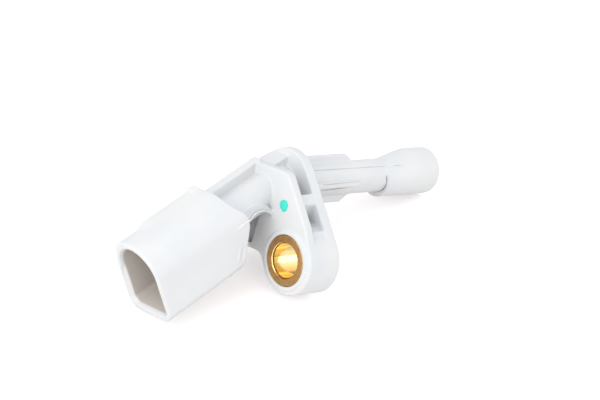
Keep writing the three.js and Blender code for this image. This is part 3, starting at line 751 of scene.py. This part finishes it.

# Thin dark lines of painted shade in the creases along the stem's fins and where its shaft meets the head:
# half width in millimetres, share of the plastic's tone, and points in millimetres
PAINTED_SHADE_LINES = {
    "painted_shade_fin": (
        0.13,
        0.75,
        in_plane(-2.2, [(3.6, 2.58), (9.44, 2.53), (13.7, 2.49), (17.2, 2.42), (21.1, 2.39)])
        + [(24.9, -2.3, 2.41), (27.6, -3.2, 2.74)],
    ),
    "painted_shade_side": (0.13, 0.75, in_plane(-5.05, [(3.8, 0.34), (7.07, 0.42), (9.89, 0.47), (14.2, 0.5)])),
    "painted_shade_low": (0.11, 0.75, [(5.5, -3.18, -1.5), (9.51, -3.22, -1.33), (12.6, -3.24, -1.24)]),
    "painted_shade_head": (
        0.09,
        0.25,
        [
            (23.5, -3.38, 0.76),
            (23.7, -3.5, 0.03),
            (23.9, -3.42, -0.75),
            (23.92, -3.22, -1.56),
            (23.92, -2.8, -2.37),
            (23.92, -1.78, -3.1),
            (23.92, -0.51, -3.56),
        ],
    ),
}


def curve_points(corners, steps=10):
    """Points on a curve of four control points."""
    a, b, c, d = (Vector(p) for p in corners)
    found = []
    for i in range(steps + 1):
        t = i / steps
        u = 1 - t
        found.append(a * u**3 + b * 3 * u * u * t + c * 3 * u * t * t + d * t**3)
    return found


# How the width of a laid line varies, as shares of the width given: at its very ends, how fast it grows from
# them, its middle width, and the waves of its uneven edge as (number per point, height, turn)
LINE_END = 0.35
LINE_TAPER = 2.2
LINE_MIDDLE = 0.85
LINE_WAVES = [(2.3, 0.25, 0), (5.1, 0.12, 1)]


def lay_line(name, points, material, half_width):
    """Lays a thin uneven line through points of the moulding's frame, thinner at its ends, in millimetres."""
    curve = bpy.data.curves.new(name, "CURVE")
    curve.dimensions = "3D"
    curve.bevel_depth = half_width * MM
    curve.bevel_resolution = 2
    curve.use_fill_caps = True
    line = curve.splines.new("POLY")
    last = len(points) - 1
    line.points.add(last)
    for i, point in enumerate(points):
        line.points[i].co = (*(Vector(point) * MM), 1)
        ends = min(1, LINE_END + LINE_TAPER * min(i, last - i) / last)
        uneven = sum((rise * math.sin(waves * i + turn) for waves, rise, turn in LINE_WAVES), LINE_MIDDLE)
        line.points[i].radius = ends * uneven
    piece = piece_from(name, curve, PLACING, [material])
    mesh = bpy.data.meshes.new_from_object(piece.evaluated_get(bpy.context.evaluated_depsgraph_get()))
    bpy.data.objects.remove(piece)
    bpy.data.curves.remove(curve)
    mesh.polygons.foreach_set("use_smooth", [True] * len(mesh.polygons))
    piece = piece_from(name, mesh)
    settle(piece)


def build_flash():
    """The lines of flash that the mould's halves left, lighter as a painted highlight, and thin dark lines of
    painted shade.
    """
    colour = tuple(bpy.context.scene.sensor_colours.plastic)
    # The flash is real; its lighter plastic is a painted highlight along its thin edge
    pale = moulded_plastic("flash", toned(colour, 1.3, most=0.95))
    arch = in_plane(ARCH_SIDE, (place for curve in ARCH_CURVES for place in curve_points(curve)))
    for name, points in {"flash_arch": arch, **FLASH_LINES}.items():
        lay_line(name, points, pale, FLASH_HALF_WIDTH)
    # Painted shade: thin lines darker than the plastic, laid in the creases by the fins and at the head
    for name, (half_width, tone, points) in PAINTED_SHADE_LINES.items():
        lay_line(name, points, moulded_plastic(name, toned(colour, tone)), half_width)


# Finishes inside the moulding: record slot, base colour (the tin's where none is given), the function that
# makes it, and the nodes that have it
INNER_FINISHES = [
    (
        "tinned_terminal",
        None,
        tinned_finish,
        ("terminal_supply", "terminal_signal", "chip_lead_supply", "chip_lead_signal"),
    ),
    ("black_resin", (0.02, 0.02, 0.022), resin_finish, ("sensing_chip", "capacitor_body")),
    ("plate_steel", (0.45, 0.46, 0.47), tinned_finish, ("flux_plate",)),
    ("magnet", (0.06, 0.06, 0.065), resin_finish, ("bias_magnet",)),
    ("carrier_plastic", (0.03, 0.032, 0.035), resin_finish, ("carrier",)),
]


def dress_inner_parts():
    """Gives every part inside the moulding its finish."""
    tin = tuple(bpy.context.scene.sensor_colours.tin)
    for slot, colour, finish, nodes in INNER_FINISHES:
        material = finish(slot, colour or tin)
        for node in nodes:
            piece = frame["nodes"][node]
            piece.data.materials.clear()
            piece.data.materials.append(material)


# The floor: half its width, how far under the sensor it lies, and the glow that the camera sees on it
FLOOR_REACH = 1.5
FLOOR_DROP = 0.00002
FLOOR_GLOW = 0.29


def build_floor():
    """A wide pale floor that shows white where it is lit and keeps the sensor's soft shadow."""
    mesh = bpy.data.meshes.new("floor")
    bm = bmesh.new()
    bmesh.ops.create_grid(bm, x_segments=8, y_segments=8, size=FLOOR_REACH)
    bm.to_mesh(mesh)
    bm.free()
    material, g = graph_for("floor_paper")
    colour = tuple(bpy.context.scene.sensor_colours.floor)
    ray = g.add("ShaderNodeLightPath")
    seen = g.math("MAXIMUM", ray.outputs["Is Camera Ray"], ray.outputs["Is Transmission Ray"])
    paper = g.noise(g.place(), 900, 3)
    tone = g.blended(g.ranged(paper, 0, 1, 0.3, 0.7), toned(colour, 0.99), colour)
    diffuse = g.add("ShaderNodeBsdfDiffuse", {"Color": tone})
    strength = g.math("MULTIPLY", seen, FLOOR_GLOW)
    glow = g.add("ShaderNodeEmission", {"Color": (1, 1, 1), "Strength": strength})
    both = g.add("ShaderNodeAddShader", {0: diffuse.outputs[0], 1: glow.outputs[0]})
    g.add("ShaderNodeOutputMaterial", {"Surface": both.outputs[0]})
    floor = piece_from("floor", mesh, Matrix.Translation((0, 0, -FLOOR_DROP)), [material])


# The room's strength at two heights, for the sensor's light and for its reflections, those heights as the
# upward part of a direction, and the tint of both
SKY_STRENGTH = (0.89, 1.0)
SKY_HEIGHTS = (-0.2, 0.9)
GLOSSY_STRENGTH = (0.8, 1.5)
GLOSSY_HEIGHTS = (0.0, 0.5)
SKY_TINT = (0.975, 0.985, 1)


def build_world():
    """A pale room: white where the camera sees it, and a soft sloping sky over the sensor."""
    world = bpy.data.worlds.new("room")
    bpy.context.scene.world = world
    world.use_nodes = True
    g = Graph(world.node_tree)
    ray = g.add("ShaderNodeLightPath")
    direction = g.add("ShaderNodeTexCoord").outputs["Generated"]
    height = g.add("ShaderNodeSeparateXYZ", {"Vector": direction}).outputs["Z"]
    sky = g.ranged(height, *SKY_STRENGTH, *SKY_HEIGHTS)
    glossy = g.ranged(height, *GLOSSY_STRENGTH, *GLOSSY_HEIGHTS)
    seen = ray.outputs["Is Camera Ray"]
    unseen = g.mixed("FLOAT", ray.outputs["Is Glossy Ray"], sky, glossy)
    strength = g.mixed("FLOAT", seen, unseen, 1.0)
    tint = g.blended(seen, SKY_TINT, (1, 1, 1))
    background = g.add("ShaderNodeBackground", {"Color": tint, "Strength": strength})
    g.add("ShaderNodeOutputWorld", {"Surface": background.outputs[0]})


# Round soft lamps in the sensor's resting frame: their common aim, and name, place, size, power in watts and
# tint of each
LAMP_AIM = Vector((0, 0, 0.01))
LAMPS = [
    ("key_light", (-0.33, 0.02, 0.37), 0.35, 0.68, (1, 0.985, 0.965)),
    ("left_light", (-0.5, -0.12, 0.16), 0.35, 0.58, (1, 0.985, 0.925)),
    ("fill_light", (0.4, -0.48, 0.22), 0.5, 0.8, (0.94, 0.97, 1)),
]


def build_lamps():
    """The wide round lamps, each turned to the sensor."""
    for name, place, size, power, tint in LAMPS:
        lamp = bpy.data.lights.new(name, "AREA")
        lamp.shape = "DISK"
        lamp.size = size
        lamp.energy = power
        lamp.color = tint
        holder = bpy.data.objects.new(name, lamp)
        bpy.context.scene.collection.objects.link(holder)
        holder.location = place
        holder.rotation_euler = (LAMP_AIM - Vector(place)).to_track_quat("-Z", "Y").to_euler()


def build_camera():
    """The camera that took the photograph."""
    data = bpy.data.cameras.new("photo_camera")
    data.sensor_width = 36
    data.lens = CAMERA_LENS
    data.clip_start = 0.01
    data.clip_end = 10
    camera = bpy.data.objects.new("photo_camera", data)
    bpy.context.scene.collection.objects.link(camera)
    right = CAMERA_RIGHT.normalized()
    back = right.cross(CAMERA_UP).normalized()
    turn = Matrix((right, back.cross(right), back)).transposed().to_4x4()
    camera.matrix_world = PLACING @ Matrix.Translation(CAMERA_PLACE) @ turn
    bpy.context.scene.camera = camera


class SENSOR_OT_moulding(bpy.types.Operator):
    """Build the fine moulding in place of the plain housing"""

    bl_idname = "sensor.moulding"
    bl_label = "Moulding"

    def execute(self, context):
        build_moulding()
        return {"FINISHED"}


class SENSOR_OT_bush(bpy.types.Operator):
    """Build the turned bush in place of the plain one"""

    bl_idname = "sensor.bush"
    bl_label = "Compression bush"

    def execute(self, context):
        build_bush()
        return {"FINISHED"}


class SENSOR_OT_paint(bpy.types.Operator):
    """Put the dab of inspection paint on the front plate"""

    bl_idname = "sensor.paint"
    bl_label = "Paint dab"

    def execute(self, context):
        build_paint_dab()
        return {"FINISHED"}


class SENSOR_OT_flash(bpy.types.Operator):
    """Lay the thin lines of flash, lighter as a painted highlight, and the dark lines of painted shade"""

    bl_idname = "sensor.flash"
    bl_label = "Flash lines"

    def execute(self, context):
        build_flash()
        return {"FINISHED"}


class SENSOR_OT_inner_parts(bpy.types.Operator):
    """Give the terminals, the chip and the other inner parts their finishes"""

    bl_idname = "sensor.inner_parts"
    bl_label = "Inner parts"

    def execute(self, context):
        dress_inner_parts()
        return {"FINISHED"}


class SENSOR_OT_stage(bpy.types.Operator):
    """Build the floor, the light and the camera"""

    bl_idname = "sensor.stage"
    bl_label = "Stage"

    def execute(self, context):
        build_floor()
        build_world()
        build_lamps()
        build_camera()
        context.scene.view_settings.view_transform = "Standard"
        return {"FINISHED"}


STEPS = (
    SENSOR_OT_moulding,
    SENSOR_OT_bush,
    SENSOR_OT_paint,
    SENSOR_OT_flash,
    SENSOR_OT_inner_parts,
    SENSOR_OT_stage,
)


class SENSOR_PT_panel(bpy.types.Panel):
    """Lists the dressing's steps and their sizes and colours."""

    bl_idname = "SENSOR_PT_panel"
    bl_label = "Wheel speed sensor"
    bl_space_type = "VIEW_3D"
    bl_region_type = "UI"
    bl_category = "Sensor"

    def draw(self, context):
        layout = self.layout
        for step in STEPS:
            layout.operator(step.bl_idname)
        for group in (context.scene.sensor_sizes, context.scene.sensor_colours):
            box = layout.box()
            for name in group.__annotations__:
                box.prop(group, name)


CLASSES = (SensorSizes, SensorColours, *STEPS, SENSOR_PT_panel)


def register():
    for cls in CLASSES:
        bpy.utils.register_class(cls)
    bpy.types.Scene.sensor_sizes = PointerProperty(type=SensorSizes)
    bpy.types.Scene.sensor_colours = PointerProperty(type=SensorColours)


def unregister():
    del bpy.types.Scene.sensor_colours
    del bpy.types.Scene.sensor_sizes
    for cls in reversed(CLASSES):
        bpy.utils.unregister_class(cls)


def main():
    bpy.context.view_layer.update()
    register()
    for step in STEPS:
        group, name = step.bl_idname.split(".")
        getattr(getattr(bpy.ops, group), name)()


if __name__ == "__main__":
    main()
